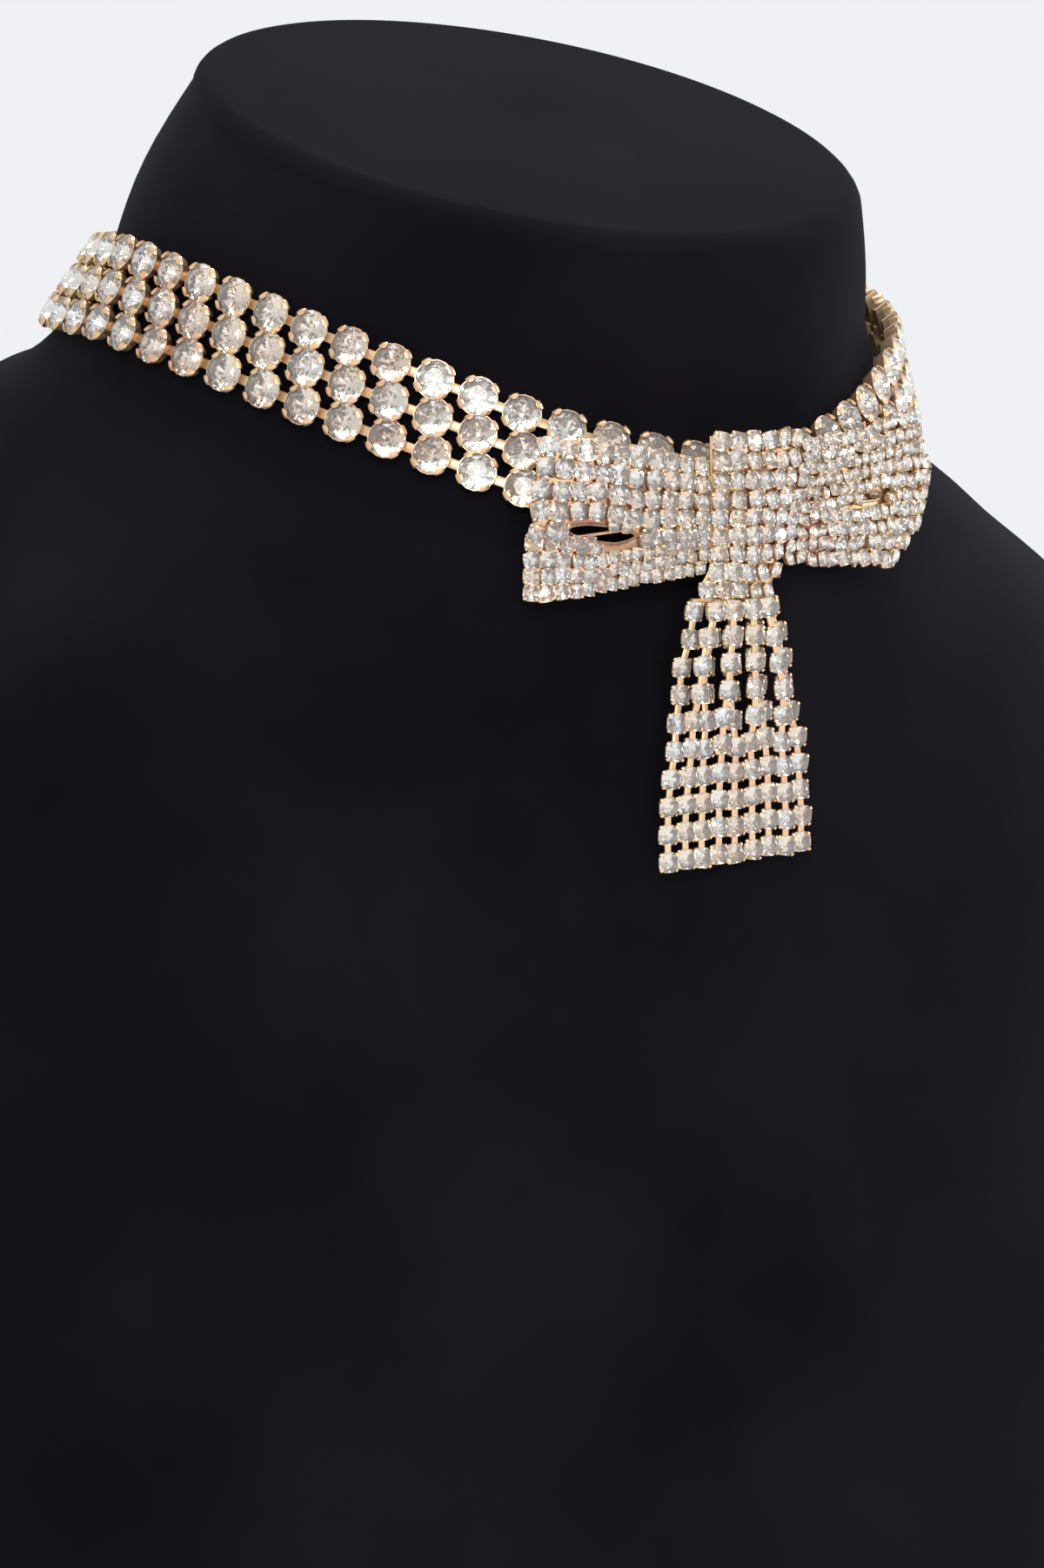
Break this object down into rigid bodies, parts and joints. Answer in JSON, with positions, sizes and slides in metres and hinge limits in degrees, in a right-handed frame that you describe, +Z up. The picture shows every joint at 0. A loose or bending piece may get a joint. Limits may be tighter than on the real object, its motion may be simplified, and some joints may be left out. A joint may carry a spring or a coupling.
{
  "type": "choker necklace on neck bust",
  "caption": "Choker of linked rows of cut stones with a front bow, a tail and a stone fringe, fastened around a plain display neck bust.",
  "frame": {"origin": "middle of the bust's base, on the surface that it stands on", "axes": "+Z up, the bust and the bow look along -Y, +X to the right of a viewer in front"},
  "size_m": [0.224, 0.1584, 0.2573],
  "materials": {
    "crystal_stones": "cut and polished",
    "rose_gold": "polished",
    "black_velvet": "velvet"
  },
  "bodies": {
    "root": {"choker_band": "crystal_stones", "choker_clasp": "rose_gold", "bow_loop_left": "crystal_stones", "bow_loop_right": "crystal_stones", "bow_knot": "crystal_stones", "fringe": "crystal_stones", "neck_bust": "black_velvet"}
  },
  "joints": []
}
